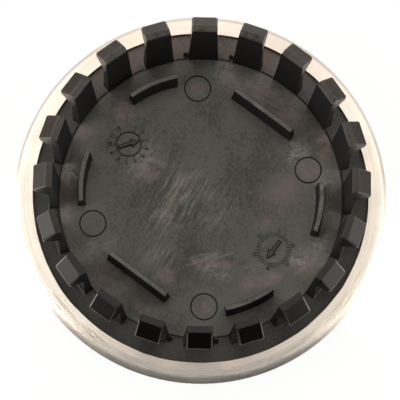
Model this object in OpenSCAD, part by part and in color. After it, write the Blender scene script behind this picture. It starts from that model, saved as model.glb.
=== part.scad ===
// Snap-in wheel centre cap, moulded in one piece: a painted rim, a back floor with ribs
// and tool marks, and a ring of barbed clips that hold it in the wheel's hub hole.
// It lies on its show face with the clips upright. The z axis is the cap's axis, z = 0 is
// the plane that the show face rests on, and +Y runs through the middle of one clip.

/* [Rim] */
// Outside diameter of the rim
rim_d = 83; // [80.5:0.5:92]
// Height of the rim's back face above the rest plane
rim_h = 6; // [5:0.1:8]
// Height of the rim's widest line above the rest plane
rim_widest_z = 3.2; // [1.8:0.1:3.6]
// Radial reach of the rounding between the back face and the widest line
back_round_w = 1.5; // [0.4:0.1:1.8]
// Radial reach of the rounding between the widest line and the show face
face_round_w = 2.8; // [1:0.1:3.6]

/* [Show face] */
// Diameter of the plain shallow dish in the show face
dish_d = 65; // [50:0.5:68]
// Depth of the dish
dish_depth = 1.6; // [0.8:0.1:2.4]
// Radial length of the dish's soft border
dish_border_w = 3; // [1:0.1:5]

/* [Back floor] */
// Diameter of the floor's mouth, where the painted back face ends
floor_mouth_d = 74.4; // [73.4:0.1:76]
// Depth of the floor below the rim's back face
floor_depth = 0.9; // [0.5:0.1:1.5]
// Radial width of the sloping wall round the floor
floor_wall_w = 0.1; // [0.05:0.05:0.6]
// Middle diameter of the fine groove at the feet of the clips
groove_d = 63.4; // [62:0.1:64]
// Width of the fine groove
groove_w = 0.4; // [0.2:0.1:0.8]
// Depth of the fine groove
groove_depth = 0.3; // [0.1:0.1:0.6]

/* [Clips] */
// Number of clips round the cap
clip_count = 20; // [12:1:22]
// Distance of a clip's flat inner face from the axis, at its foot
clip_in_r = 31.35; // [30.6:0.05:31.6]
// Outward lean of the inner face, from its foot to its top edge
clip_lean = 0.6; // [0:0.1:0.9]
// Radial thickness of a clip at its foot
clip_foot_t = 2.05; // [1.8:0.05:2.6]
// Radial thickness of a clip where the barb starts
clip_neck_t = 1.35; // [1.1:0.05:1.7]
// Width of a clip at its foot
clip_foot_w = 6.5; // [5.6:0.1:7.4]
// Width of a clip at its ridge
clip_head_w = 5.4; // [4.4:0.1:5.6]
// Radius of the fillets at a clip's foot
clip_fillet = 0.4; // [0.2:0.1:0.6]
// Height of the ridge above the back floor
ridge_h = 21.9; // [18:0.1:26]
// Radial distance from the inner top edge to the ridge
ridge_reach = 1.5; // [1:0.1:1.8]
// Drop from the ridge to the inner top edge
ridge_drop = 0.15; // [0:0.05:2]
// Radial distance from the ridge to the barb's outer land
barb_reach = 2.85; // [2.2:0.05:3.2]
// Drop from the ridge to the top of the land
ramp_drop = 3.85; // [3:0.1:4.6]
// Height of the outer land
land_h = 0.8; // [0.5:0.1:1.4]
// Drop from the land to the neck, along the barb's underside
under_drop = 3.2; // [2:0.1:4]
// Chamfer on the barb's side edges
barb_chamfer = 0.3; // [0.1:0.05:0.5]
// Radius of the rounding along the ridge and the other edges that run across the barb
barb_round = 0.35; // [0.1:0.05:0.4]

/* [Ribs] */
// Height of the ribs above the back floor
rib_h = 6.6; // [4:0.1:9]
// Thickness of a rib at its top
rib_top_t = 1.1; // [0.8:0.1:1.5]
// Thickness of a rib at its foot
rib_foot_t = 1.9; // [1.6:0.1:2.4]
// Chamfer along the top edges of a rib
rib_chamfer = 0.15; // [0.05:0.05:0.3]
// Angles of the two curved ribs and of the straight rib that stand on one half of the floor,
// counted from the clip on +Y
rib_turn = [24.7, 83.6, 144]; // [0:0.1:180]
// Middle radius of the curved ribs
arc_rib_r = 26.5; // [25:0.1:28]
// Angle that a curved rib spans
arc_rib_span = 24.2; // [12:0.1:30]
// Distance of the straight ribs from the axis
flat_rib_off = 22.95; // [21:0.05:24]
// Length of the straight ribs
flat_rib_len = 15.4; // [10:0.1:18]

/* [Tool marks] */
// Diameter of the ejector pin marks
pin_mark_d = 5.8; // [4:0.1:6.4]
// Distance of the ejector pin marks from the axis
pin_mark_r = 24.7; // [23:0.1:26]
// Angles of the two pairs of pin marks, counted from the clip on +Y
pin_mark_turn = [2.6, 105.3]; // [0:0.1:180]
// Width of the fine line round a mark or dial
mark_line_w = 0.35; // [0.2:0.05:0.6]
// Depth of the fine line round a mark or dial
mark_line_depth = 0.45; // [0.1:0.05:0.6]

/* [Feed nubs] */
// Diameter of the small nubs left beside the feet of some clips
nub_d = 1; // [0.4:0.1:1.2]
// Height of a nub above the back floor
nub_h = 0.6; // [0.3:0.1:1.2]
// Distance of the nubs from the axis
nub_r = 32.6; // [32.2:0.1:34]
// Angles of the nubs, counted from the clip on +Y
nub_turn = [7, -11, 187, 169]; // [-180:0.1:180]

/* [Dials] */
// Diameter of the fine ring round the first arrow
dial_d = 5.5; // [4:0.1:6.5]
// Distance of the dials from the axis
dial_r = 20; // [18:0.1:21]
// Angle of the first dial, counted from the clip on +Y
dial_turn = 54.5; // [48:0.1:60]
// Directions in which the two arrows point, counted from +X
arrow_turn = [19.6, 233.5]; // [0:0.1:360]
// Length of an arrow
arrow_len = 4.5; // [3.4:0.1:4.6]
// Width of an arrow's head
arrow_head_w = 1.5; // [1:0.1:2]
// Width of an arrow's shaft
arrow_shaft_w = 0.5; // [0.3:0.1:0.9]
// Height of an arrow above the back floor
arrow_h = 0.5; // [0.2:0.1:0.8]
// Width of the groove round an arrow
arrow_groove_w = 0.25; // [0.1:0.05:0.4]

/* [Hidden] */
$fn = 96;
// Segments in each rounding of the rim's section, in the dish's border and in a clip's
// fillets and rounded edges
round_steps = 12;
border_steps = 8;
fillet_steps = 4;
edge_steps = 3;
// Depth that a clip, rib or arrow is rooted in the floor
root = 0.6;
// Extra reach of a cutting or bounding shape past what it cuts
past = 1;
rim_r = rim_d / 2;
floor_z = rim_h - floor_depth;
floor_mouth_r = floor_mouth_d / 2;
dish_r = dish_d / 2;
groove_r = groove_d / 2;
clip_pitch = 360 / clip_count;
// Heights and radii of the clip's section
ridge_z = floor_z + ridge_h;
top_in_z = ridge_z - ridge_drop;
land_top_z = ridge_z - ramp_drop;
land_low_z = land_top_z - land_h;
neck_z = land_low_z - under_drop;
top_in_r = clip_in_r + clip_lean;
ridge_r = top_in_r + ridge_reach;
land_r = ridge_r + barb_reach;
neck_in_r = clip_in_r + clip_lean * (neck_z - floor_z) / (top_in_z - floor_z);
neck_r = neck_in_r + clip_neck_t;
foot_r = clip_in_r + clip_foot_t;
ramp_angle = atan2(ramp_drop, barb_reach);
// Reach of the outlines that bound a clip's edges
bound_h = 2 * ridge_h;

// Points of an elliptical arc in a section, from angle a to angle b
function arc(cx, cz, rx, rz, a, b, n) =
  [for (i = [0 : n]) let (t = a + (b - a) * i / n) [cx + rx * cos(t), cz + rz * sin(t)]];

// Points of the dish's soft border, an even S from the show face to the dish's floor
function dish_border() =
  [for (i = [0 : border_steps]) let (t = i / border_steps)
    [dish_r - dish_border_w * t, dish_depth * (1 - cos(180 * t)) / 2]];

// Points of the rounding of radius r at the corner q, on the way from p to s
function rounding(p, q, s, r) =
  let (u = (p - q) / norm(p - q), v = (s - q) / norm(s - q), half = acos(u * v) / 2,
       mid = q + r / sin(half) * (u + v) / norm(u + v), first = q + r / tan(half) * u,
       last = q + r / tan(half) * v, a = atan2(first.y - mid.y, first.x - mid.x),
       turn = atan2(last.y - mid.y, last.x - mid.x) - a,
       sweep = turn > 180 ? turn - 360 : turn < -180 ? turn + 360 : turn)
  [for (i = [0 : edge_steps]) mid + r * [cos(a + sweep * i / edge_steps), sin(a + sweep * i / edge_steps)]];

// Section of the rim and the floor, turned about the axis
module shell_section() {
  polygon(concat(
    [[0, floor_z], [0, dish_depth]],
    [for (i = [border_steps : -1 : 0]) dish_border()[i]],
    arc(rim_r - face_round_w, rim_widest_z, face_round_w, rim_widest_z, -90, 0, round_steps),
    arc(rim_r - back_round_w, rim_widest_z, back_round_w, rim_h - rim_widest_z,
      90 / round_steps, 90, round_steps - 1),
    [[floor_mouth_r, rim_h], [floor_mouth_r - floor_wall_w, floor_z]]
  ));
}

// A fine ring-shaped line cut in the floor
module floor_line(mid_r, width, depth) {
  translate([0, 0, floor_z - depth])
    difference() {
      cylinder(h = depth + past, r = mid_r + width / 2);
      translate([0, 0, -past]) cylinder(h = depth + 3 * past, r = mid_r - width / 2);
    }
}

// The rim and the floor, with the groove at the clips' feet and the outlines of the tool marks
module shell() {
  difference() {
    rotate_extrude() shell_section();
    floor_line(groove_r, groove_w, groove_depth);
    for (turn = pin_mark_turn, half = [0, 180])
      rotate(90 + turn + half) translate([pin_mark_r, 0, 0])
        floor_line(pin_mark_d / 2, mark_line_w, mark_line_depth);
    rotate(90 + dial_turn) translate([dial_r, 0, 0])
      floor_line(dial_d / 2, mark_line_w, mark_line_depth);
    arrows(arrow_groove_w, mark_line_depth, past);
  }
}

// Side view of a clip: distance from the axis along x, height along y
module clip_side() {
  foot_in = [clip_in_r, floor_z];
  top_in = [top_in_r, top_in_z];
  ridge = [ridge_r, ridge_z];
  land_top = [land_r, land_top_z];
  land_low = [land_r, land_low_z];
  neck = [neck_r, neck_z];
  polygon(concat(
    [[clip_in_r, floor_z - root], foot_in],
    rounding(foot_in, top_in, ridge, barb_round),
    rounding(top_in, ridge, land_top, barb_round),
    rounding(ridge, land_top, land_low, barb_round),
    rounding(land_top, land_low, neck, barb_round / 2),
    [neck],
    arc(foot_r + clip_fillet, floor_z + clip_fillet, clip_fillet, clip_fillet, 180, 270, fillet_steps),
    [[foot_r + clip_fillet, floor_z - root]]
  ));
}

// Width of the clip's front view at the height z
function clip_w(z) = clip_foot_w + (clip_head_w - clip_foot_w) * (z - floor_z) / ridge_h;

// Front view of a clip: width along x, height along y, with a fillet on each side of the foot
module clip_front() {
  half_foot = clip_foot_w / 2;
  side = concat(
    [[half_foot + clip_fillet, floor_z - root]],
    arc(half_foot + clip_fillet, floor_z + clip_fillet, clip_fillet, clip_fillet, 270, 180, fillet_steps),
    [[clip_w(ridge_z + past) / 2, ridge_z + past]]
  );
  polygon(concat(side, [for (i = [len(side) - 1 : -1 : 0]) [-side[i][0], side[i][1]]]));
}

// Outline that takes the two long edges off a face of the width w: the face lies on y = 0
module edge_bound(w) {
  in = w / 2 - barb_chamfer;
  polygon([
    [-in - bound_h, -bound_h], [in + bound_h, -bound_h], [in - past, past], [past - in, past]
  ]);
}

// One barbed clip, standing on the +X side of the axis, its edges taken off along the ramp
// and along the outer land
module clip() {
  intersection() {
    rotate([90, 0, 0]) linear_extrude(height = 2 * clip_foot_w, center = true) clip_side();
    rotate([90, 0, 90]) linear_extrude(height = 2 * rim_r) clip_front();
    translate([land_r, 0, land_top_z]) rotate([0, ramp_angle, 0]) rotate([90, 0, 90])
      linear_extrude(height = 2 * bound_h, center = true) edge_bound(clip_w((ridge_z + land_top_z) / 2));
    translate([land_r, 0, 0]) rotate(-90)
      linear_extrude(height = 2 * ridge_z) edge_bound(clip_w(land_top_z));
  }
}

// A curved rib on the +X side of the axis, its sides drafted
module arc_rib() {
  rotate(-arc_rib_span / 2)
    rotate_extrude(angle = arc_rib_span)
      translate([arc_rib_r, floor_z]) rib_section();
}

// A straight rib across the +X side of the axis, its sides and ends drafted
module flat_rib() {
  draft = (rib_foot_t - rib_top_t) / 2;
  intersection() {
    translate([flat_rib_off, 0, floor_z]) rotate([90, 0, 0])
      linear_extrude(height = flat_rib_len + 2 * rib_foot_t, center = true) rib_section();
    translate([0, 0, floor_z]) rotate([90, 0, 90])
      linear_extrude(height = rim_r)
        polygon([
          [-flat_rib_len / 2 - draft, -root], [flat_rib_len / 2 + draft, -root],
          [flat_rib_len / 2, rib_h], [-flat_rib_len / 2, rib_h]
        ]);
  }
}

// Cross-section of a rib, rooted in the floor
module rib_section() {
  half_foot = rib_foot_t / 2;
  half_top = rib_top_t / 2;
  polygon([
    [-half_foot, -root], [half_foot, -root], [half_foot, 0],
    [half_top, rib_h - rib_chamfer], [half_top - rib_chamfer, rib_h],
    [rib_chamfer - half_top, rib_h], [-half_top, rib_h - rib_chamfer], [-half_foot, 0]
  ]);
}

// Six ribs: on each half of the floor two are curved and one is straight
module ribs() {
  for (half = [0, 180]) {
    for (i = [0, 1]) rotate(90 + rib_turn[i] + half) arc_rib();
    rotate(90 + rib_turn[2] + half) flat_rib();
  }
}

// Outline of a dial's arrow, grown by a margin: its middle is at the origin, its point towards +X
module arrow_outline(margin) {
  tip = arrow_len / 2;
  neck = tip - arrow_head_w - margin;
  half_shaft = arrow_shaft_w / 2 + margin;
  half_head = arrow_head_w / 2 + 1.5 * margin;
  polygon([
    [-tip - margin, -half_shaft], [neck, -half_shaft], [neck, -half_head], [tip + 2 * margin, 0],
    [neck, half_head], [neck, half_shaft], [-tip - margin, half_shaft]
  ]);
}

// Both arrow outlines in their places on the dials, made solid from the depth below the
// floor to the height above it
module arrows(margin, depth, height) {
  for (i = [0, 1])
    rotate(90 + dial_turn + 180 * i) translate([dial_r, 0, floor_z - depth])
      rotate(arrow_turn[i] - 90 - dial_turn - 180 * i)
        linear_extrude(height = depth + height) arrow_outline(margin);
}

// The small nubs beside the clips' feet, flat on top
module nubs() {
  for (turn = nub_turn)
    rotate(90 + turn) translate([nub_r, 0, floor_z - root])
      cylinder(h = root + nub_h, r = nub_d / 2, $fn = 24);
}

module cap() {
  color("#26241f") {
    shell();
    for (i = [0 : clip_count - 1]) rotate(90 + i * clip_pitch) clip();
    ribs();
    arrows(0, root, arrow_h);
    nubs();
  }
}

cap();
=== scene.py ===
"""Looks of a snap-in wheel centre cap that lies on its show face, clips upright.

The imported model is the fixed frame. This script dresses its one moulding in black plastic and
silver paint, adds the raised marks of the two tool dials, and sets the floor, lights and camera.
"""
from __future__ import annotations

import logging
import math
from dataclasses import dataclass
from enum import Enum
from functools import reduce

import bpy
from mathutils import Matrix, Vector


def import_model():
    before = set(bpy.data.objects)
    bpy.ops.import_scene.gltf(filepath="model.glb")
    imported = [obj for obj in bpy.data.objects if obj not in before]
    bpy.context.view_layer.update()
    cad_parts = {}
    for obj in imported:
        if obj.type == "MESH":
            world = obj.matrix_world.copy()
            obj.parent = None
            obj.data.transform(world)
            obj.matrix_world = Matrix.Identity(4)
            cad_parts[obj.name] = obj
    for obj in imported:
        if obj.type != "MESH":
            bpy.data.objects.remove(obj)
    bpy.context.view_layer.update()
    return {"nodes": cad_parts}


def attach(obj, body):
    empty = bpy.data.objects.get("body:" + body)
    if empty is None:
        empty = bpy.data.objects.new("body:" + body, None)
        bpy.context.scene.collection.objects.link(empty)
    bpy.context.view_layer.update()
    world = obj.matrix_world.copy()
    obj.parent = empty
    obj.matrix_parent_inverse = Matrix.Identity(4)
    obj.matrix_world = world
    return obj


Socket = bpy.types.NodeSocket
LOG = logging.getLogger("centre_cap")
MM = 0.001
BODY = "root"
CAP_NODE = "cap"
# Sizes of the solid, in millimetres and in degrees from +Y, anticlockwise.
FLOOR_Z = 5.1
PIN_RADIUS = 24.7
PIN_WIDTH = 5.8
PIN_TURNS = (2.6, 105.3, 182.6, 285.3)
DIAL_RADIUS = 20.0
DIAL_TURN = 54.5
# Width of the smooth place in the middle of the first dial, in millimetres.
DISC_WIDTH = 5.4
HALF_TURN = 180.0
NOISE_MIDDLE = 0.5
WHITE = (1.0, 1.0, 1.0, 1.0)
WARM = (1.0, 0.955, 0.90)


def polar(radius: float, turn: float) -> tuple[float, float]:
    """Place a point by its distance from the axis and its angle from +Y, anticlockwise.

    Args:
        radius: Distance from the axis.
        turn: Angle in degrees.

    Returns:
        X and Y in the unit of the radius.
    """
    return (-radius * math.sin(math.radians(turn)), radius * math.cos(math.radians(turn)))


@dataclass(frozen=True)
class Edge:
    """The two values between which one look or zone turns into the next."""

    low: float
    high: float


@dataclass(frozen=True)
class Grain:
    """A noise texture: its scale, its octaves, and how strong the fine octaves are."""

    scale: float
    detail: float = 2.0
    roughness: float = 0.5


class Nodes:
    """Short ways to add and link the nodes of one node tree."""

    def __init__(self, tree: bpy.types.NodeTree) -> None:
        """Keep the tree that the nodes go into."""
        self.tree = tree

    def add(self, kind: str, **settings: object) -> bpy.types.Node:
        """Add a node of a kind and set its properties.

        Args:
            kind: The node's type name.
            settings: Properties of the node, by name.

        Returns:
            The new node.
        """
        node = self.tree.nodes.new(kind)
        for key, value in settings.items():
            setattr(node, key, value)
        return node

    def feed(self, socket: Socket, value: object) -> None:
        """Link a socket to another node's output, or set it to a plain value.

        Args:
            socket: The input to feed.
            value: An output's socket, or the value.
        """
        if isinstance(value, Socket):
            self.tree.links.new(value, socket)
        else:
            socket.default_value = value

    def wired(self, kind: str, *values: object, **settings: object) -> bpy.types.Node:
        """Add a node of a kind and feed its inputs in order.

        Args:
            kind: The node's type name.
            values: Sockets or plain values for its first inputs.
            settings: Properties of the node, by name.

        Returns:
            The new node.
        """
        node = self.add(kind, **settings)
        for socket, value in zip(node.inputs, values):
            self.feed(socket, value)
        return node

    def output(self, kind: str, surface: Socket) -> None:
        """Add an output node of a kind and link a shader to its surface."""
        self.feed(self.add(kind).inputs["Surface"], surface)

    def math(self, operation: str, a: object, b: object = 0.0, c: object = 0.0) -> Socket:
        """Add a Math node.

        Args:
            operation: The operation's name.
            a: First operand, a socket or a number.
            b: Second operand.
            c: Third operand.

        Returns:
            The result's socket.
        """
        return self.wired("ShaderNodeMath", a, b, c, operation=operation).outputs[0]

    def times(self, *factors: object) -> Socket:
        """Multiply two or more sockets or numbers."""
        return reduce(lambda a, b: self.math("MULTIPLY", a, b), factors)

    def most(self, *values: object) -> Socket:
        """Take the greatest of two or more sockets or numbers."""
        return reduce(lambda a, b: self.math("MAXIMUM", a, b), values)

    def about_zero(self, value: Socket) -> Socket:
        """Shift a noise value, which lies about a half, so that it lies about zero."""
        return self.math("SUBTRACT", value, NOISE_MIDDLE)

    def blend(self, factor: Socket, a: object, b: object) -> Socket:
        """Blend two sockets or numbers: the factor is how much of the second there is."""
        return self.math("MULTIPLY_ADD", factor, self.math("SUBTRACT", b, a), a)

    def ramp(self, value: object, edge: Edge, start: float = 0.0, end: float = 1.0) -> Socket:
        """Map a value smoothly from one span to another.

        Args:
            value: The socket to map.
            edge: Values at which the result is start and end.
            start: Result at and below the edge's low value.
            end: Result at and above the edge's high value.

        Returns:
            The result's socket.
        """
        node = self.add("ShaderNodeMapRange", interpolation_type="SMOOTHSTEP")
        numbers = {"From Min": edge.low, "From Max": edge.high, "To Min": start, "To Max": end}
        for key, number in numbers.items():
            node.inputs[key].default_value = number
        self.feed(node.inputs["Value"], value)
        return node.outputs[0]

    def noise(self, vector: object, grain: Grain) -> Socket:
        """Add a Noise texture.

        Args:
            vector: Where the noise is read.
            grain: Its settings.

        Returns:
            The noise value's socket.
        """
        node = self.add("ShaderNodeTexNoise", noise_dimensions="3D")
        self.feed(node.inputs["Vector"], vector)
        node.inputs["Scale"].default_value = grain.scale
        node.inputs["Detail"].default_value = grain.detail
        node.inputs["Roughness"].default_value = grain.roughness
        return node.outputs["Fac"]

    def mix(self, factor: object, a: object, b: object) -> Socket:
        """Mix two colours.

        Args:
            factor: How much of b there is.
            a: First colour.
            b: Second colour.

        Returns:
            The mixed colour's socket.
        """
        node = self.add("ShaderNodeMix", data_type="RGBA")
        colour_a, colour_b = (socket for socket in node.inputs if socket.type == "RGBA")
        self.feed(node.inputs["Factor"], factor)
        self.feed(colour_a, a)
        self.feed(colour_b, b)
        return next(socket for socket in node.outputs if socket.type == "RGBA")

    def mix_shaders(self, factor: Socket, a: bpy.types.Node, b: bpy.types.Node) -> Socket:
        """Mix the shaders of two nodes: the factor is how much of the second there is."""
        return self.wired("ShaderNodeMixShader", factor, a.outputs[0], b.outputs[0]).outputs[0]

    def vector(self, operation: str, a: object, b: object = (0.0, 0.0, 0.0)) -> bpy.types.Node:
        """Add a Vector Math node.

        Args:
            operation: The operation's name.
            a: First vector, a socket or three numbers.
            b: Second vector.

        Returns:
            The node.
        """
        return self.wired("ShaderNodeVectorMath", a, b, operation=operation)

    def joined(self, x: object, y: object, z: object = 0.0) -> Socket:
        """Make a vector of three sockets or numbers."""
        return self.wired("ShaderNodeCombineXYZ", x, y, z).outputs[0]

    def parts(self, vector: Socket) -> tuple[Socket, ...]:
        """Take a vector apart into its X, Y and Z."""
        return tuple(self.wired("ShaderNodeSeparateXYZ", vector).outputs)

    def mapped(self, vector: Socket, turn: float = 0.0, centre: tuple = (0.0, 0.0, 0.0),
               scale: tuple = (1.0, 1.0, 1.0)) -> Socket:
        """Shift a vector, turn it about Z and stretch it.

        Args:
            vector: The vector's socket.
            turn: Angle in degrees.
            centre: The point that comes to the origin.
            scale: Stretch along each axis after the turn.

        Returns:
            The mapped vector's socket.
        """
        node = self.add("ShaderNodeVectorRotate", rotation_type="Z_AXIS")
        self.feed(node.inputs["Vector"], self.vector("SUBTRACT", vector, centre).outputs[0])
        node.inputs["Angle"].default_value = math.radians(-turn)
        return self.vector("MULTIPLY", node.outputs[0], scale).outputs[0]


def new_material(name: str) -> tuple[bpy.types.Material, Nodes]:
    """Make a material with no nodes yet.

    Args:
        name: The material's name.

    Returns:
        The material and its node helper.
    """
    material = bpy.data.materials.new(name)
    material.use_nodes = True
    material.node_tree.nodes.clear()
    return material, Nodes(material.node_tree)


@dataclass(frozen=True)
class ScuffPattern:
    """Fine scratches along X that come in bundles."""

    stretch: tuple = (170.0, 1900.0, 60.0)
    lines: Grain = Grain(1.0, 5.0, 0.72)
    line_edge: Edge = Edge(0.40, 0.66)
    bundles: Grain = Grain(95.0, 3.0, 0.6)
    bundle_limit: float = 0.85
    density_reach: float = 0.6
    bundle_slope: float = 6.0
    bundle_round: float = 0.2
    density: float = 0.5


@dataclass(frozen=True)
class MottlePattern:
    """Cloudy patches with fine grain in them."""

    clouds: Grain = Grain(110.0, 4.0, 0.6)
    grain: Grain = Grain(1400.0, 2.0, 0.6)
    grain_share: float = 0.3


class EffectGroups:
    """The shader node groups of the effects that the materials use, each made once."""

    def __init__(self) -> None:
        """Build every group."""
        self.scuffs = self._scuffs(ScuffPattern())
        self.mottle = self._mottle(MottlePattern())

    @staticmethod
    def _begin(name: str, numbers: dict[str, float]) -> tuple[bpy.types.NodeTree, Nodes, bpy.types.Node]:
        """Start a group with a vector input, number inputs and one value output.

        Args:
            name: The group's name.
            numbers: Its number inputs and their defaults.

        Returns:
            The group, its node helper and its input node.
        """
        group = bpy.data.node_groups.new(name, "ShaderNodeTree")
        group.interface.new_socket("Vector", in_out="INPUT", socket_type="NodeSocketVector")
        for key, number in numbers.items():
            socket = group.interface.new_socket(key, in_out="INPUT", socket_type="NodeSocketFloat")
            socket.default_value = number
        group.interface.new_socket("Mask", in_out="OUTPUT", socket_type="NodeSocketFloat")
        nodes = Nodes(group)
        return group, nodes, nodes.add("NodeGroupInput")

    @classmethod
    def _scuffs(cls, pattern: ScuffPattern) -> bpy.types.NodeTree:
        """Make the group of fine scratches that run along X in broken bundles.

        Args:
            pattern: Their settings.

        Returns:
            The group, which puts out a mask.
        """
        group, nodes, inputs = cls._begin("fine_scuffs", {"Density": pattern.density})
        place = inputs.outputs["Vector"]
        along = nodes.mapped(place, scale=pattern.stretch)
        lines = nodes.ramp(nodes.noise(along, pattern.lines), pattern.line_edge)
        reach = nodes.times(inputs.outputs["Density"], pattern.density_reach)
        limit = nodes.math("SUBTRACT", pattern.bundle_limit, reach)
        above = nodes.most(nodes.math("SUBTRACT", nodes.noise(place, pattern.bundles), limit), 0.0)
        steep = nodes.times(above, pattern.bundle_slope)
        bundles = nodes.math("SMOOTH_MIN", steep, 1.0, pattern.bundle_round)
        nodes.feed(nodes.add("NodeGroupOutput").inputs["Mask"], nodes.times(lines, bundles))
        return group

    @classmethod
    def _mottle(cls, pattern: MottlePattern) -> bpy.types.NodeTree:
        """Make the group of cloudy patches with fine grain in them.

        Args:
            pattern: Their settings.

        Returns:
            The group, which puts out a mask about 0.5.
        """
        group, nodes, inputs = cls._begin("cloudy_mottle", {"Grain": pattern.grain_share})
        place = inputs.outputs["Vector"]
        clouds = nodes.noise(place, pattern.clouds)
        fine = nodes.about_zero(nodes.noise(place, pattern.grain))
        mask = nodes.math("ADD", clouds, nodes.times(fine, inputs.outputs["Grain"]))
        nodes.feed(nodes.add("NodeGroupOutput").inputs["Mask"], mask)
        return group


def use_group(nodes: Nodes, group: bpy.types.NodeTree, vector: Socket,
              numbers: dict[str, float]) -> Socket:
    """Place an effect group in a material.

    Args:
        nodes: The material's node helper.
        group: The group.
        vector: What its Vector input reads.
        numbers: Values of its number inputs.

    Returns:
        The group's output socket.
    """
    node = nodes.add("ShaderNodeGroup", node_tree=group)
    nodes.feed(node.inputs["Vector"], vector)
    for key, number in numbers.items():
        node.inputs[key].default_value = number
    return node.outputs[0]


@dataclass(frozen=True)
class Zones:
    """Edges between the zones of the moulding, in millimetres.

    Those named in and out are distances from the axis, and the others are heights.
    """

    show_side: Edge = Edge(4.2, 4.4)
    floor_low: Edge = Edge(4.95, 5.05)
    floor_high: Edge = Edge(5.15, 5.3)
    floor_out: Edge = Edge(31.2, 31.7)
    ring_in: Edge = Edge(31.6, 31.8)
    wall_in: Edge = Edge(36.95, 37.05)
    paint_in: Edge = Edge(37.15, 37.3)
    arrow_low: Edge = Edge(5.55, 5.59)
    arrow_high: Edge = Edge(5.7, 5.8)
    arrow_out: Edge = Edge(22.4, 22.6)
    rib_top: Edge = Edge(11.58, 11.66)
    rib_out: Edge = Edge(29.0, 29.5)
    stem_low: Edge = Edge(5.2, 5.6)
    stem_high: Edge = Edge(18.5, 19.5)
    inner_out: Edge = Edge(32.3, 32.6)
    inner_high: Edge = Edge(26.4, 26.6)
    top_low: Edge = Edge(26.6, 26.8)
    head_low: Edge = Edge(22.0, 23.5)
    head_in: Edge = Edge(33.3, 33.6)
    ramp_in: Edge = Edge(33.5, 33.7)
    land_low: Edge = Edge(22.1, 22.2)
    land_high: Edge = Edge(23.0, 23.2)
    land_in: Edge = Edge(36.0, 36.1)


@dataclass(frozen=True)
class ClipShape:
    """The solid's ring of clips, and where the mask on its chamfers fades, in millimetres."""

    count: int = 20
    foot_z: float = FLOOR_Z
    rise: float = 21.9
    foot_width: float = 6.5
    head_width: float = 5.4
    chamfer: Edge = Edge(2.42, 2.5)
    side_gap: Edge = Edge(0.02, 0.06)


@dataclass(frozen=True)
class PlasticFinish:
    """Black moulded plastic: glossy where untouched, grey and scuffed on the floor."""

    black: tuple = (0.0016, 0.0014, 0.0008, 1.0)
    # Brown of the barbs, laid on their north side: painted light where they face the lamp, over a cloudy
    # mottle.
    barb: tuple = (0.0230, 0.0140, 0.0095, 1.0)
    # Lighter tone of the clips' tops, laid on their north side as painted light.
    barb_top: tuple = (0.0380, 0.0325, 0.0290, 1.0)
    # Painted highlight on the clips' chamfers and outer lands.
    edge: tuple = (0.1100, 0.1080, 0.1000, 1.0)
    ring: tuple = (0.0320, 0.0312, 0.0270, 1.0)
    # Painted light: a warm lighter tone on the north side of the floor outside the clips, where the lamp
    # falls.
    bloom: tuple = (0.0860, 0.0640, 0.0560, 1.0)
    wall: tuple = (0.0700, 0.0330, 0.0180, 1.0)
    floor: tuple = (0.0520, 0.0512, 0.0450, 1.0)
    floor_dark: tuple = (0.0170, 0.0174, 0.0150, 1.0)
    # Painted light: a lighter floor towards the clips, evening out the shade they cast.
    floor_edge: tuple = (0.0900, 0.0872, 0.0780, 1.0)
    floor_tint: tuple = (0.1020, 0.0740, 0.0700, 1.0)
    # Lit tone of the floor's tint, for the same painted light near the clips.
    edge_tint: tuple = (0.1550, 0.1150, 0.1060, 1.0)
    streak: tuple = (0.1550, 0.1470, 0.1320, 1.0)
    speck: tuple = (0.2000, 0.1930, 0.1750, 1.0)
    gloss_roughness: float = 0.38
    floor_roughness: Edge = Edge(0.38, 0.48)
    stem_roughness: float = 1.0
    speck_roughness: float = 0.15
    specular: float = 0.34
    relief: float = 0.02
    fine_grain: Grain = Grain(1800.0)
    fine_share: float = 0.25
    soft_grain: Grain = Grain(240.0)


@dataclass(frozen=True)
class ClipPattern:
    """How the clips and the floor outside them are mottled, and where light and highlights are painted on
    them. Places along Y are in millimetres.
    """

    grain: float = 0.8
    barb_clouds: Edge = Edge(0.3, 0.65)
    # Painted light: the barbs' brown fades out towards the front, -Y, away from the lamp.
    barb_y: Edge = Edge(-12.0, 8.0)
    top_clouds: Edge = Edge(0.2, 0.55)
    top_y: Edge = Edge(-22.0, 22.0)
    ring_clouds: Edge = Edge(0.30, 0.58)
    ring_least: float = 0.6
    # Painted light on the north side of the floor outside the clips, in cloudy patches.
    bloom_clouds: Edge = Edge(0.25, 0.6)
    bloom_least: float = 0.3
    bloom_y: Edge = Edge(18.0, 32.0)
    # Painted highlight on the clips' edges: full in front, a quarter behind.
    edge_y: Edge = Edge(-34.0, -8.0)
    edge_behind: float = 0.25
    chamfer_share: float = 0.45


@dataclass(frozen=True)
class FloorPattern:
    """How the floor inside the clips is mottled, lightened near the clips with painted light, tinted,
    streaked and specked.
    """

    grain: float = 0.65
    clouds: Edge = Edge(0.32, 0.70)
    smooth_share: float = 0.6
    smooth_level: float = 0.56
    smooth_wipe: float = 0.8
    rough_clouds: Edge = Edge(0.3, 0.7)
    dust_radius: Edge = Edge(11.0, 30.0)
    dust_clouds: Edge = Edge(0.25, 0.60)
    dust_share: Edge = Edge(0.35, 0.85)
    broken: Grain = Grain(260.0, 6.0, 0.75)
    tint_edge: Edge = Edge(0.38, 0.60)
    tint_least: float = 0.1
    streak_edge: Edge = Edge(0.36, 0.58)
    streak_least: float = 0.45
    streak_density: float = 0.95
    streak_share: float = 0.8
    specks: Grain = Grain(700.0, 5.0, 0.78)
    speck_edge: Edge = Edge(0.42, 0.62)
    speck_share: float = 0.7
    fray: Grain = Grain(220.0, 4.0, 0.65)
    arrow_share: float = 0.55


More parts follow.
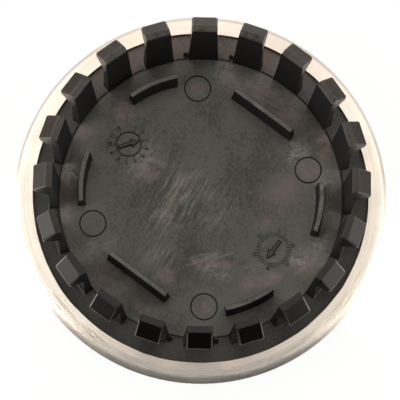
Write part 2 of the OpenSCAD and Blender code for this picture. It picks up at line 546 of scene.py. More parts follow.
@dataclass(frozen=True)
class PaintFinish:
    """Warm silver paint on the rim and the show face, with fine lines round the axis."""

    silver: tuple = (0.90, 0.835, 0.745, 1.0)
    shade: tuple = (0.66, 0.590, 0.510, 1.0)
    # Painted shade for the front of the rim, -Y.
    front_shade: tuple = (0.48, 0.445, 0.400, 1.0)
    blush: tuple = (0.84, 0.740, 0.680, 1.0)
    # Painted shade on the outer edge of the rim in front, with a wavy border.
    worn_edge: tuple = (0.44, 0.430, 0.410, 1.0)
    metallic: float = 0.65
    roughness: float = 0.38
    relief: float = 0.055
    fall: float = 0.08
    fall_radius: float = 37.2


@dataclass(frozen=True)
class PaintPattern:
    """How the paint is drawn and tinted, and where shade is painted on it. Lengths are in millimetres."""

    masking: Grain = Grain(130.0)
    masking_wobble: float = 0.5
    line_pitch: float = 5.2
    line_turn: float = 2.5
    lines: Grain = Grain(1.0, 3.0, 0.6)
    line_edge: Edge = Edge(0.42, 0.62)
    line_share: float = 0.4
    clouds: Grain = Grain(90.0, 3.0)
    cloud_edge: Edge = Edge(0.45, 0.7)
    cloud_share: float = 0.35
    front_y: Edge = Edge(-39.0, -28.0)
    front_share: float = 0.8
    # Painted shade: the silver darkens towards the back, +Y.
    back_y: Edge = Edge(15.0, 36.0)
    back_share: float = 0.45
    blush_shift: float = 10.0
    blush_clouds: Grain = Grain(130.0, 3.0)
    blush_edge: Edge = Edge(0.45, 0.60)
    blush_share: float = 0.3
    ripple_stretch: tuple = (0.40, 4.0, 4.0)
    ripple_wander: Grain = Grain(260.0)
    ripple_wander_share: float = 0.6
    ripple: Grain = Grain(1.0, 4.0, 0.7)
    ripple_reach: float = 1.4
    # Painted shade on the rim's outer edge in front: where it starts, how it wavers and how strong it is.
    worn_radius: Edge = Edge(38.5, 39.6)
    worn_ripple: Edge = Edge(0.42, 0.60)
    worn_least: float = 0.3
    worn_share: float = 0.9
    ripple_y: Edge = Edge(-32.0, -12.0)
    ripple_front: float = 5.0
    ripple_behind: float = 0.4


@dataclass(frozen=True)
class Patch:
    """An oval place on the floor with a look of its own: sizes in millimetres, turn in degrees."""

    x: float
    y: float
    length: float
    width: float
    turn: float = 0.0
    strength: float = 1.0


@dataclass(frozen=True)
class PatchSet:
    """Patches of one look, whose edges fade over a share of each and are frayed by noise.

    The turn is the way that their scratches run, in degrees from X.
    """

    soft: float
    ragged: float
    patches: tuple[Patch, ...]
    turn: float = 0.0


# Places on the floor with a look of their own, measured from the photo.
TINTED = PatchSet(0.7, 1.8, (
    Patch(15.0, 22.8, 33.0, 12.0, -38.0),
    Patch(-12.5, 5.8, 13.0, 9.0, 30.0, 0.9),
    Patch(-16.8, 19.0, 8.0, 6.0, 60.0, 0.9),
    Patch(27.5, 11.2, 9.0, 5.0, 100.0),
    Patch(-6.5, -1.5, 20.0, 4.0, 60.0, 0.6),
    Patch(-20.4, -17.3, 10.0, 6.0, 40.0),
    Patch(-30.1, -1.3, 18.0, 4.0, 95.0),
    Patch(-7.6, -17.6, 11.0, 4.8, -63.0, 0.9),
    Patch(2.7, -15.2, 12.2, 3.2, -6.0),
    Patch(13.4, -19.1, 14.0, 3.6, 17.0),
    Patch(23.7, -15.4, 8.0, 6.0, 60.0),
    Patch(18.3, 1.0, 14.0, 12.0, 0.0, 0.6),
    Patch(13.9, -5.7, 9.0, 4.8, 0.0, 0.5),
    Patch(-12.1, -24.8, 6.0, 4.6, -13.0, 0.9),
    Patch(2.4, -24.7, 3.5, 5.5, -30.0, 0.9),
    Patch(-1.1, 24.7, 4.0, 4.0, 0.0, 0.7),
    Patch(23.8, 6.5, 7.5, 7.0, 0.0, 0.9),
    Patch(-25.4, 14.3, 8.0, 5.0, 40.0, 0.8),
))
STREAKED = (
    PatchSet(0.7, 1.0, turn=61.0, patches=(
        Patch(-5.4, -1.5, 30.0, 18.0, 61.0),
        Patch(3.3, -2.5, 18.0, 10.0, 61.0, 0.6),
        Patch(-12.0, 8.0, 16.0, 14.0, 61.0, 0.6),
        Patch(-9.0, -14.0, 16.0, 12.0, 61.0, 0.7),
    )),
    PatchSet(0.7, 1.0, turn=-18.0, patches=(
        Patch(5.0, 27.5, 8.0, 6.0, -18.0),
        Patch(13.5, 23.2, 28.0, 14.0, -33.0, 0.9),
    )),
    PatchSet(0.7, 1.0, turn=17.0, patches=(
        Patch(2.7, -13.3, 15.0, 4.0, 17.0, 0.9),
        Patch(15.0, -16.0, 20.0, 6.0, 17.0, 0.7),
        Patch(-22.0, -12.0, 12.0, 9.0, 40.0, 0.5),
    )),
)
SPECKED = PatchSet(0.8, 1.0, (
    Patch(-29.2, 5.5, 12.0, 4.5, 95.0),
    Patch(21.3, 10.4, 8.0, 7.0, 45.0),
    Patch(27.8, 0.5, 17.0, 6.5, 95.0),
    Patch(26.6, -10.0, 10.0, 6.0, 70.0, 0.9),
    Patch(5.0, 27.5, 8.0, 5.0, -20.0, 0.8),
    Patch(22.0, -14.0, 9.0, 7.0, 40.0, 0.9),
    Patch(15.0, 25.0, 13.0, 5.0, -33.0, 0.6),
    Patch(3.0, -16.5, 12.0, 5.0, -20.0, 0.7),
    Patch(-13.0, 8.0, 10.0, 8.0, 60.0, 0.6),
))
SMOOTH = PatchSet(0.05, 0.0, (
    *(Patch(*polar(PIN_RADIUS, turn), PIN_WIDTH, PIN_WIDTH) for turn in PIN_TURNS),
    Patch(*polar(DIAL_RADIUS, DIAL_TURN), DISC_WIDTH, DISC_WIDTH),
))


@dataclass
class CapMaterial:
    """The moulding's material: plastic and paint told apart by distance from the axis and by height."""

    name: str
    groups: EffectGroups
    plastic: PlasticFinish
    paint: PaintFinish
    clip: ClipShape = ClipShape()
    zones: Zones = Zones()
    clip_wear: ClipPattern = ClipPattern()
    floor_wear: FloorPattern = FloorPattern()
    paint_wear: PaintPattern = PaintPattern()

    def __post_init__(self) -> None:
        """Start the material, and read X, Y, Z and the distance from the axis in millimetres."""
        self.material, self.nodes = new_material(self.name)
        nodes = self.nodes
        self.place = nodes.add("ShaderNodeTexCoord").outputs["Object"]
        self.x, self.y, self.z = (nodes.times(part, 1 / MM) for part in nodes.parts(self.place))
        square = nodes.math("ADD", nodes.times(self.x, self.x), nodes.times(self.y, self.y))
        self.radius = nodes.math("SQRT", square)

    def build(self) -> bpy.types.Material:
        """Make the material.

        Returns:
            The material.
        """
        nodes, zones, plastic = self.nodes, self.zones, self.plastic
        flat = nodes.ramp(self.z, zones.floor_high, 1.0, 0.0)
        flat = nodes.times(flat, nodes.ramp(self.z, zones.floor_low))
        on_floor = self._on_floor(flat)
        floor_colour, floor_rough = self._floor_look()
        clip_colour = self._clip_colour(nodes.times(nodes.ramp(self.radius, zones.ring_in), flat))
        bare = nodes.mix(nodes.ramp(self.radius, zones.wall_in), clip_colour, plastic.wall)
        painted = self._painted()
        paint_colour, lines = self._paint_look()
        shader = nodes.add("ShaderNodeBsdfPrincipled")
        shader.inputs["Specular IOR Level"].default_value = plastic.specular
        colour = nodes.mix(painted, nodes.mix(on_floor, bare, floor_colour), paint_colour)
        nodes.feed(shader.inputs["Base Color"], colour)
        nodes.feed(shader.inputs["Metallic"], nodes.times(painted, self.paint.metallic))
        rough = nodes.blend(on_floor, self._clip_roughness(), floor_rough)
        nodes.feed(shader.inputs["Roughness"], nodes.blend(painted, rough, self.paint.roughness))
        nodes.feed(shader.inputs["Normal"], self._normal(painted, lines))
        nodes.output("ShaderNodeOutputMaterial", shader.outputs[0])
        return self.material

    def _on_floor(self, flat: Socket) -> Socket:
        """Mask of what looks like the floor: its face inside the clips, the ribs' tops and the arrows.

        Args:
            flat: Mask of the floor's height.

        Returns:
            The mask's socket.
        """
        nodes, zones = self.nodes, self.zones
        face = nodes.times(nodes.ramp(self.radius, zones.floor_out, 1.0, 0.0), flat)
        rib = nodes.times(nodes.ramp(self.z, zones.rib_top), nodes.ramp(self.radius, zones.rib_out, 1.0, 0.0))
        low = nodes.times(nodes.ramp(self.z, zones.arrow_low), nodes.ramp(self.z, zones.arrow_high, 1.0, 0.0))
        arrow = nodes.times(low, nodes.ramp(self.radius, zones.arrow_out, self.floor_wear.arrow_share, 0.0))
        return nodes.most(face, rib, arrow)

    def _painted(self) -> Socket:
        """Mask of the painted skin: the rim outside the floor's mouth, and the show side.

        Returns:
            The mask's socket.
        """
        nodes, zones, wear_and_light = self.nodes, self.zones, self.paint_wear
        wobble = nodes.times(nodes.about_zero(nodes.noise(self.place, wear_and_light.masking)), wear_and_light.masking_wobble)
        outside = nodes.ramp(nodes.math("ADD", self.radius, wobble), zones.paint_in)
        return nodes.most(outside, nodes.ramp(self.z, zones.show_side, 1.0, 0.0))

    def _clip_roughness(self) -> Socket:
        """Roughness off the floor: glossy on the barbs and their tops, dull on the stems and inner faces.

        Returns:
            The roughness socket.
        """
        nodes, zones = self.nodes, self.zones
        inner = nodes.ramp(self.radius, zones.inner_out, 1.0, 0.0)
        inner = nodes.times(inner, nodes.ramp(self.z, zones.inner_high, 1.0, 0.0))
        stem = nodes.most(inner, nodes.ramp(self.z, zones.stem_high, 1.0, 0.0))
        stem = nodes.times(stem, nodes.ramp(self.z, zones.stem_low))
        return nodes.blend(stem, self.plastic.gloss_roughness, self.plastic.stem_roughness)

    def _clip_edges(self) -> Socket:
        """Mask of the painted highlights along the edges that frame a barb's ramp: the chamfers along its
        sides, and the outer land.

        Returns:
            The mask's socket.
        """
        nodes, zones, clip, wear_and_light = self.nodes, self.zones, self.clip, self.clip_wear
        pitch = 2 * math.pi / clip.count
        turns = nodes.math("DIVIDE", nodes.math("ARCTAN2", self.x, self.y), pitch)
        off = nodes.math("ABSOLUTE", nodes.math("SUBTRACT", turns, nodes.math("ROUND", turns)))
        across = nodes.times(off, pitch, self.radius)
        taper = (clip.head_width - clip.foot_width) / 2 / clip.rise
        half_width = nodes.math("MULTIPLY_ADD", self.z, taper, clip.foot_width / 2 - taper * clip.foot_z)
        inside = nodes.ramp(nodes.math("SUBTRACT", half_width, across), clip.side_gap)
        sides = nodes.times(inside, nodes.ramp(across, clip.chamfer))
        sides = nodes.times(sides, nodes.ramp(self.radius, zones.ramp_in, 0.0, wear_and_light.chamfer_share))
        land = nodes.ramp(self.z, zones.land_high, 1.0, 0.0)
        land = nodes.times(land, nodes.ramp(self.radius, zones.land_in))
        return nodes.times(nodes.most(sides, land), nodes.ramp(self.z, zones.land_low))

    def _clip_colour(self, on_ring: Socket) -> Socket:
        """Colour of the clips and ribs, and of the floor outside the clips.

        Args:
            on_ring: Mask of the floor outside the clips.

        Returns:
            The colour's socket.
        """
        nodes, zones, plastic, wear_and_light = self.nodes, self.zones, self.plastic, self.clip_wear
        cloudy = use_group(nodes, self.groups.mottle, self.place, {"Grain": wear_and_light.grain})
        outer = nodes.times(nodes.ramp(self.radius, zones.head_in), nodes.ramp(self.z, zones.head_low))
        # Painted light: the barbs turn brown on their north side, which faces the lamp, broken by cloudy
        # mottle.
        painted_light_and_shade = nodes.times(outer, nodes.ramp(cloudy, wear_and_light.barb_clouds), nodes.ramp(self.y, wear_and_light.barb_y))
        colour = nodes.mix(painted_light_and_shade, plastic.black, plastic.barb)
        # Painted light: the clips' tops lighten towards the north side, in cloudy patches.
        top = nodes.times(nodes.ramp(self.z, zones.top_low), nodes.ramp(self.y, wear_and_light.top_y))
        colour = nodes.mix(nodes.times(top, nodes.ramp(cloudy, wear_and_light.top_clouds)), colour, plastic.barb_top)
        ring = nodes.times(on_ring, nodes.ramp(cloudy, wear_and_light.ring_clouds, wear_and_light.ring_least))
        colour = nodes.mix(ring, colour, plastic.ring)
        # Painted light: the floor outside the clips lightens on its north side, in cloudy patches.
        bloom = nodes.times(on_ring, nodes.ramp(self.y, wear_and_light.bloom_y))
        bloom = nodes.times(bloom, nodes.ramp(cloudy, wear_and_light.bloom_clouds, wear_and_light.bloom_least))
        colour = nodes.mix(bloom, colour, plastic.bloom)
        # Painted highlight along the chamfers and lands, strongest in front.
        edges = nodes.times(self._clip_edges(), nodes.ramp(self.y, wear_and_light.edge_y, 1.0, wear_and_light.edge_behind))
        return nodes.mix(edges, colour, plastic.edge)

    def _floor_look(self) -> tuple[Socket, Socket]:
        """Look of the floor inside the clips: mottled, lightened near the clips with painted light, tinted,
        streaked and specked.

        Returns:
            The colour's socket and the roughness socket.
        """
        nodes, plastic, wear_and_light = self.nodes, self.plastic, self.floor_wear
        mottle = use_group(nodes, self.groups.mottle, self.place, {"Grain": wear_and_light.grain})
        smooth = self._patches(SMOOTH)
        even = nodes.blend(nodes.times(smooth, wear_and_light.smooth_share), mottle, wear_and_light.smooth_level)
        colour = nodes.mix(nodes.ramp(even, wear_and_light.clouds), plastic.floor_dark, plastic.floor)
        # Painted light: the floor lightens towards the clips to even out the shade they cast, in cloudy
        # patches.
        edge_light = nodes.ramp(even, wear_and_light.dust_clouds, wear_and_light.dust_share.low, wear_and_light.dust_share.high)
        edge_light = nodes.times(nodes.ramp(self.radius, wear_and_light.dust_radius), edge_light)
        colour = nodes.mix(edge_light, colour, plastic.floor_edge)
        broken = nodes.noise(self.place, wear_and_light.broken)
        tint = nodes.times(self._patches(TINTED), nodes.ramp(broken, wear_and_light.tint_edge, wear_and_light.tint_least))
        colour = nodes.mix(tint, colour, nodes.mix(edge_light, plastic.floor_tint, plastic.edge_tint))
        streaks = nodes.times(self._streaks(), nodes.ramp(broken, wear_and_light.streak_edge, wear_and_light.streak_least))
        streaks = nodes.times(streaks, nodes.math("SUBTRACT", 1.0, nodes.times(smooth, wear_and_light.smooth_wipe)))
        colour = nodes.mix(nodes.times(streaks, wear_and_light.streak_share), colour, plastic.streak)
        grains = nodes.ramp(nodes.noise(self.place, wear_and_light.specks), wear_and_light.speck_edge)
        specks = nodes.times(grains, self._patches(SPECKED))
        colour = nodes.mix(nodes.times(specks, wear_and_light.speck_share), colour, plastic.speck)
        rough = nodes.ramp(even, wear_and_light.rough_clouds, plastic.floor_roughness.high, plastic.floor_roughness.low)
        return colour, nodes.math("ADD", rough, nodes.times(specks, plastic.speck_roughness))

    def _streaks(self) -> Socket:
        """Mask of the straight fine scratches on the floor.

        Returns:
            The mask's socket.
        """
        nodes = self.nodes
        masks = []
        for places in STREAKED:
            along = nodes.mapped(self.place, turn=places.turn)
            lines = use_group(nodes, self.groups.scuffs, along, {"Density": self.floor_wear.streak_density})
            masks.append(nodes.times(lines, self._patches(places)))
        return nodes.most(*masks)

    def _patches(self, places: PatchSet) -> Socket:
        """Mask of several oval patches.

        Args:
            places: The patches and how their edges fade.

        Returns:
            The mask's socket.
        """
        nodes = self.nodes
        fray = nodes.times(nodes.about_zero(nodes.noise(self.place, self.floor_wear.fray)), places.ragged)
        edge = Edge(1.0 - places.soft, 1.0)
        masks = []
        for patch in places.patches:
            stretch = (2 / (patch.length * MM), 2 / (patch.width * MM), 0.0)
            local = nodes.mapped(self.place, patch.turn, (patch.x * MM, patch.y * MM, 0.0), stretch)
            away = nodes.math("ADD", nodes.vector("LENGTH", local).outputs["Value"], fray)
            masks.append(nodes.ramp(away, edge, patch.strength, 0.0))
        return nodes.most(*masks)

    def _paint_look(self) -> tuple[Socket, Socket]:
        """Colour of the paint, and the height of its fine lines round the axis.

        Returns:
            The colour's socket and the height's socket.
        """
        nodes, paint, wear_and_light = self.nodes, self.paint, self.paint_wear
        sine, cosine = (nodes.math("DIVIDE", part, self.radius) for part in (self.x, self.y))
        ring = nodes.joined(nodes.times(self.radius, wear_and_light.line_pitch), nodes.times(sine, wear_and_light.line_turn),
                            nodes.times(cosine, wear_and_light.line_turn))
        lines = nodes.noise(ring, wear_and_light.lines)
        clouds = nodes.ramp(nodes.noise(self.place, wear_and_light.clouds), wear_and_light.cloud_edge, 0.0, wear_and_light.cloud_share)
        shade = nodes.math("ADD", nodes.ramp(lines, wear_and_light.line_edge, 0.0, wear_and_light.line_share), clouds)
        colour = nodes.mix(shade, paint.silver, paint.shade)
        # Painted shade: the silver darkens towards the back, +Y.
        colour = nodes.mix(nodes.ramp(self.y, wear_and_light.back_y, 0.0, wear_and_light.back_share), colour, paint.shade)
        # Painted shade: the silver darkens towards the front, -Y.
        front = nodes.ramp(self.y, wear_and_light.front_y, 1.0, 0.0)
        colour = nodes.mix(nodes.times(front, wear_and_light.front_share), colour, paint.front_shade)
        shifted = nodes.mapped(self.place, centre=(wear_and_light.blush_shift * MM, 0.0, 0.0))
        warm = nodes.ramp(nodes.noise(shifted, wear_and_light.blush_clouds), wear_and_light.blush_edge)
        colour = nodes.mix(nodes.times(warm, front, wear_and_light.blush_share), colour, paint.blush)
        wander = nodes.times(nodes.noise(self.place, wear_and_light.ripple_wander), wear_and_light.ripple_wander_share)
        drawn = nodes.vector("MULTIPLY", ring, wear_and_light.ripple_stretch).outputs[0]
        ripple = nodes.noise(nodes.vector("ADD", drawn, wander).outputs[0], wear_and_light.ripple)
        reach = nodes.math("MULTIPLY_ADD", nodes.about_zero(ripple), wear_and_light.ripple_reach, self.radius)
        # Painted shade: the rim's outer edge turns grey in front, with a wavy border.
        band = nodes.ramp(reach, wear_and_light.worn_radius)
        painted_light_and_shade = nodes.times(band, front, nodes.ramp(ripple, wear_and_light.worn_ripple, 1.0, wear_and_light.worn_least))
        colour = nodes.mix(nodes.times(painted_light_and_shade, wear_and_light.worn_share), colour, paint.worn_edge)
        strength = nodes.ramp(self.y, wear_and_light.ripple_y, wear_and_light.ripple_front, wear_and_light.ripple_behind)
        return colour, nodes.math("ADD", lines, nodes.times(ripple, band, strength))

    def _normal(self, painted: Socket, lines: Socket) -> Socket:
        """Fine relief: grain on the plastic, and lines and a slight fall outwards on the paint.

        Args:
            painted: Mask of the paint.
            lines: Height of the paint's lines.

        Returns:
            The normal's socket.
        """
        nodes, plastic, paint = self.nodes, self.plastic, self.paint
        fine = nodes.times(nodes.noise(self.place, plastic.fine_grain), plastic.fine_share)
        grain = nodes.math("ADD", fine, nodes.noise(self.place, plastic.soft_grain))
        outward = nodes.most(nodes.math("SUBTRACT", self.radius, paint.fall_radius), 0.0)
        skin = nodes.math("SUBTRACT", nodes.times(lines, paint.relief), nodes.times(outward, paint.fall))
        bare = nodes.math("SUBTRACT", 1.0, painted)
        moulded = nodes.times(grain, bare, plastic.relief)
        bump = nodes.add("ShaderNodeBump")
        bump.inputs["Distance"].default_value = MM
        nodes.feed(bump.inputs["Height"], nodes.math("ADD", moulded, nodes.times(skin, painted)))
        return bump.outputs[0]


@dataclass(frozen=True)
class MarkMaterial:
    """The material of the dials' raised marks: the floor's plastic, dulled a little."""

    groups: EffectGroups
    plastic: PlasticFinish
    grain: float = 0.5
    colour_clouds: Edge = Edge(0.35, 0.65)
    rough_clouds: Edge = Edge(0.3, 0.7)
    roughness: Edge = Edge(0.4, 0.55)
    specular: float = 0.15

    def build(self, name: str) -> bpy.types.Material:
        """Make the material.

        Args:
            name: The material's name.

        Returns:
            The material.
        """
        material, nodes = new_material(name)
        plastic = self.plastic
        place = nodes.add("ShaderNodeTexCoord").outputs["Object"]
        mottle = use_group(nodes, self.groups.mottle, place, {"Grain": self.grain})
        colour = nodes.mix(nodes.ramp(mottle, self.colour_clouds), plastic.floor_dark, plastic.floor)
        rough = nodes.ramp(mottle, self.rough_clouds, self.roughness.low, self.roughness.high)
        shader = nodes.add("ShaderNodeBsdfPrincipled")
        nodes.feed(shader.inputs["Base Color"], colour)
        nodes.feed(shader.inputs["Roughness"], rough)
        shader.inputs["Specular IOR Level"].default_value = self.specular
        nodes.output("ShaderNodeOutputMaterial", shader.outputs[0])
        return material


def deselect_all() -> None:
    """Leave object mode's selection empty, so that operators act on new pieces only."""
    bpy.ops.object.select_all(action="DESELECT")


def bake_place(piece: bpy.types.Object) -> None:
    """Apply a piece's place to its mesh, so that its object sits at the origin.

    Args:
        piece: The piece.
    """
    deselect_all()
    piece.select_set(True)
    bpy.context.view_layer.objects.active = piece
    bpy.ops.object.transform_apply(location=True, rotation=True, scale=True)


def join_pieces(parts: list[bpy.types.Object], name: str) -> bpy.types.Object:
    """Join several mesh objects into one.

    Args:
        parts: The objects, each with its place applied.
        name: The joined piece's name.

    Returns:
        The joined object.
    """
    deselect_all()
    for part in parts:
        part.select_set(True)
    bpy.context.view_layer.objects.active = parts[0]
    bpy.ops.object.join()
    piece = bpy.context.view_layer.objects.active
    piece.name = name
    piece.data.name = name
    return piece


class Mark(Enum):
    """What stands round the arrow of a dial."""

    NUMERALS = "numerals"
    TICKS = "ticks"


@dataclass(frozen=True)
class Scale:
    """A row of marks round a dial: lengths in millimetres, angles in degrees clockwise from +Y."""

    mark: Mark
    texts: tuple[str, ...]
    radius: float
    height: float
    start: float
    step: float


@dataclass
class Dial:
    """The raised marks round the arrow of one tool dial. Sizes are in millimetres."""

    name: str
    centre: tuple[float, float]
    scales: tuple[Scale, ...]
    floor_z: float = FLOOR_Z
    tick_width: float = 0.17
    tick_bevel: float = 0.0425
    relief: float = 0.22
    sunk: float = 0.05
    digit_share: float = 0.7
    digit_steps: int = 3

    def build(self, material: bpy.types.Material) -> bpy.types.Object:
        """Model the marks as one piece.

        Args:
            material: The marks' material.

        Returns:
            The piece, with its place in its mesh.
        """
        marks = []
        for scale in self.scales:
            for index, text in enumerate(scale.texts):
                mark = self._numeral(text, scale) if scale.mark is Mark.NUMERALS else self._tick(scale)
                self._place(mark, scale, index)
                marks.append(mark)
        piece = join_pieces(marks, self.name)
        piece.data.materials.clear()
        piece.data.materials.append(material)
        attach(piece, BODY)
        return piece

    def _place(self, piece: bpy.types.Object, scale: Scale, index: int) -> None:
        """Stand a mark in its place on its scale, its top turned outwards.

        Args:
            piece: The mark, modelled about the origin.
            scale: The scale that it belongs to.
            index: Its place on the scale, from 0.
        """
        turn = math.radians(scale.start + scale.step * index)
        piece.location = Vector((
            (self.centre[0] + scale.radius * math.sin(turn)) * MM,
            (self.centre[1] + scale.radius * math.cos(turn)) * MM,
            (self.floor_z + (self.relief - self.sunk) / 2) * MM,
        ))
        piece.rotation_euler = (0.0, 0.0, -turn)
        bake_place(piece)

    def _numeral(self, text: str, scale: Scale) -> bpy.types.Object:
        """Model one raised numeral about the origin.

        Args:
            text: Its digits.
            scale: The scale that it belongs to.

        Returns:
            The numeral's mesh object.
        """
        deselect_all()
        bpy.ops.object.text_add()
        numeral = bpy.context.object
        numeral.data.body = text
        numeral.data.align_x = "CENTER"
        numeral.data.align_y = "CENTER"
        numeral.data.size = scale.height * MM / self.digit_share
        numeral.data.extrude = (self.relief + self.sunk) / 2 * MM
        numeral.data.resolution_u = self.digit_steps
        bpy.ops.object.convert(target="MESH")
        return bpy.context.object

    def _tick(self, scale: Scale) -> bpy.types.Object:
        """Model one raised tick about the origin, its edges taken off.

        Args:
            scale: The scale that it belongs to.

        Returns:
            The tick's mesh object.
        """
        deselect_all()
        bpy.ops.mesh.primitive_cube_add(size=1.0)
        tick = bpy.context.object
        tick.scale = (self.tick_width * MM, scale.height * MM, (self.relief + self.sunk) * MM)
        bpy.ops.object.transform_apply(location=False, rotation=False, scale=True)
        edge = tick.modifiers.new("edge", "BEVEL")
        edge.width = self.tick_bevel * MM
        edge.segments = 1
        bpy.ops.object.modifier_apply(modifier=edge.name)
        return tick


@dataclass
class Photographer:
    """The camera at the photo's viewing angle. Lengths are in millimetres, angles in degrees."""

    lean: float = 10.93
    lean_turn: float = -3.64
    roll: float = 0.97
    distance: float = 514.8
    target: tuple[float, float, float] = (-0.20, -0.90, 6.0)
    lens: float = 208.8
    sensor: float = 36.0
    nearest: float = 10.0

    def place(self) -> bpy.types.Object:
        """Make the scene's camera.

        Returns:
            The camera object.
        """
        lean = math.radians(self.lean)
        turn = math.radians(self.lean_turn)
        back = Vector((math.sin(lean) * math.sin(turn), -math.sin(lean) * math.cos(turn), math.cos(lean)))
        roll = math.radians(self.roll)
        upright = Vector((-math.sin(roll), math.cos(roll), 0.0))
        up = (upright - upright.dot(back) * back).normalized()
        right = up.cross(back)
        data = bpy.data.cameras.new("photo_camera")
        data.lens = self.lens
        data.sensor_width = self.sensor
        data.clip_start = self.nearest * MM
        camera = bpy.data.objects.new("photo_camera", data)
        bpy.context.scene.collection.objects.link(camera)
        across, along, height = self.target
        eye = Vector((0.0, 0.0, height)) + self.distance * back + across * right + along * up
        axes = Matrix((right, up, back)).transposed().to_4x4()
        camera.matrix_world = Matrix.Translation(eye * MM) @ axes
        bpy.context.scene.camera = camera
        return camera


@dataclass
class SoftLight:
    """One rectangular soft light, aimed at the object. Lengths are in metres."""

    name: str
    place: tuple[float, float, float]
    width: float
    height: float
    power: float
    aim: tuple[float, float, float] = (0.0, 0.0, 0.01)
    tint: tuple[float, float, float] = WARM

    def add(self) -> bpy.types.Object:
        """Make the lamp.

        Returns:
            The lamp object.
        """
        data = bpy.data.lights.new(self.name, "AREA")
        data.shape = "RECTANGLE"
        data.size = self.width
        data.size_y = self.height
        data.energy = self.power
        data.color = self.tint
        lamp = bpy.data.objects.new(self.name, data)
        bpy.context.scene.collection.objects.link(lamp)
        lamp.location = self.place
        lamp.rotation_euler = (Vector(self.aim) - Vector(self.place)).to_track_quat("-Z", "Y").to_euler()
        return lamp


@dataclass(frozen=True)
class Lobe:
    """A brighter side of the surroundings: its middle from +Y and its reach to each side, in degrees."""

    turn: float
    spread: float
    strength: float


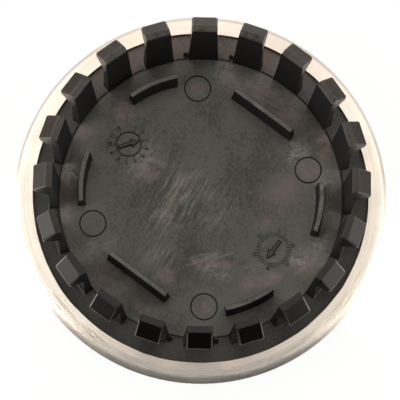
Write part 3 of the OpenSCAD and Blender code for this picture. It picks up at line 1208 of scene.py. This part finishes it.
@dataclass
class Studio:
    """The pale floor, the world and the soft lights round the object. Lengths are in metres."""

    floor_size: float = 6.0
    floor_colour: tuple = (0.86, 0.86, 0.86, 1.0)
    floor_white: float = 0.92
    plain_light: float = 0.46
    front_share: float = 0.01
    front_edge: Edge = Edge(-0.96, -0.50)
    lobes: tuple[Lobe, ...] = (Lobe(0.0, 44.0, 0.34), Lobe(106.0, 30.0, 1.85), Lobe(-111.0, 32.0, 1.30),
                               Lobe(-55.0, 44.0, 0.10))
    world_tint: tuple = (*WARM, 1.0)
    lights: tuple[SoftLight, ...] = (
        SoftLight("light_north", (0.0, 0.74, 0.90), 1.5, 1.08, 4.2, (0.0, 0.74, 0.0)),
        SoftLight("light_west", (-0.80, 0.10, 0.45), 1.6, 1.1, 8.6),
        SoftLight("light_east", (0.80, 0.10, 0.45), 1.6, 1.1, 4.6),
    )

    def build(self) -> None:
        """Make the floor, the world and the lamps."""
        self._floor()
        self._world()
        for light in self.lights:
            light.add()

    def _light_around(self, nodes: Nodes, outward: Socket) -> Socket:
        """Brightness of the surroundings by direction: dark in front, brighter by each lobe.

        Args:
            nodes: The node helper of the tree.
            outward: A vector from the object to the surroundings.

        Returns:
            The brightness socket.
        """
        x, y, _ = nodes.parts(outward)
        level = nodes.vector("NORMALIZE", nodes.joined(x, y)).outputs[0]
        total = self.plain_light
        for lobe in self.lobes:
            middle = (*polar(1.0, lobe.turn), 0.0)
            facing = nodes.vector("DOT_PRODUCT", level, middle).outputs["Value"]
            reach = Edge(math.cos(math.radians(lobe.spread)), 1.0)
            total = nodes.math("ADD", nodes.ramp(facing, reach, 0.0, lobe.strength), total)
        return nodes.times(total, nodes.ramp(nodes.parts(level)[1], self.front_edge, self.front_share))

    def _floor(self) -> None:
        """Make the floor: nearly white to the camera, and as bright as the surroundings in reflections."""
        deselect_all()
        bpy.ops.mesh.primitive_plane_add(size=self.floor_size)
        floor = bpy.context.object
        floor.name = "studio_floor"
        material, nodes = new_material("studio_floor")
        paper = nodes.add("ShaderNodeBsdfDiffuse")
        paper.inputs["Color"].default_value = self.floor_colour
        path = nodes.add("ShaderNodeLightPath")
        seen = path.outputs["Is Camera Ray"]
        around = self._light_around(nodes, nodes.add("ShaderNodeTexCoord").outputs["Object"])
        white = nodes.add("ShaderNodeEmission")
        nodes.feed(white.inputs["Strength"], nodes.most(around, seen))
        nodes.feed(white.inputs["Color"], nodes.mix(seen, self.world_tint, WHITE))
        share = nodes.most(nodes.times(seen, self.floor_white), path.outputs["Is Glossy Ray"])
        nodes.output("ShaderNodeOutputMaterial", nodes.mix_shaders(share, paper, white))
        floor.data.materials.append(material)

    def _world(self) -> None:
        """Make the world: white to the camera, and on the object a soft light from behind and the sides."""
        world = bpy.data.worlds.new("studio_world")
        bpy.context.scene.world = world
        world.use_nodes = True
        world.node_tree.nodes.clear()
        nodes = Nodes(world.node_tree)
        light = nodes.add("ShaderNodeBackground")
        light.inputs["Color"].default_value = self.world_tint
        around = self._light_around(nodes, nodes.add("ShaderNodeTexCoord").outputs["Generated"])
        nodes.feed(light.inputs["Strength"], around)
        white = nodes.add("ShaderNodeBackground")
        white.inputs["Color"].default_value = WHITE
        seen = nodes.add("ShaderNodeLightPath").outputs["Is Camera Ray"]
        nodes.output("ShaderNodeOutputWorld", nodes.mix_shaders(seen, light, white))


def cap_dials() -> tuple[Dial, ...]:
    """Set out the two dials, half a turn apart.

    Returns:
        The dials.
    """
    months = tuple(str(number) for number in range(1, 13))
    days = ("5", "10", "15", "20", "25", "31")
    ticks = 36
    return (
        Dial("dial_numerals", polar(DIAL_RADIUS, DIAL_TURN), (
            Scale(Mark.NUMERALS, months, radius=4.1, height=0.9, start=19.7, step=27.7),
            Scale(Mark.TICKS, months, radius=3.25, height=0.35, start=19.7, step=27.7),
        )),
        Dial("dial_ticks", polar(DIAL_RADIUS, DIAL_TURN + HALF_TURN), (
            Scale(Mark.TICKS, ("",) * ticks, radius=3.45, height=1.0, start=0.0, step=360.0 / ticks),
            Scale(Mark.NUMERALS, days, radius=4.35, height=0.7, start=16.0, step=60.0),
        )),
    )


def main() -> None:
    """Dress the moulding, add the dials' marks and set the studio."""
    logging.basicConfig(level=logging.INFO, format="%(name)s: %(message)s")
    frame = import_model()
    bpy.context.scene.view_settings.view_transform = "Standard"
    Photographer().place()
    Studio().build()
    groups = EffectGroups()
    plastic = PlasticFinish()
    cap = frame["nodes"][CAP_NODE]
    cap.data.materials.clear()
    cap.data.materials.append(CapMaterial("cap_plastic_and_paint", groups, plastic, PaintFinish()).build())
    LOG.info("moulding dressed: %s", cap.name)
    marks = MarkMaterial(groups, plastic).build("rubbed_marks")
    for dial in cap_dials():
        piece = dial.build(marks)
        LOG.info("dial marks built: %s, %d faces", piece.name, len(piece.data.polygons))


if __name__ == "__main__":
    main()
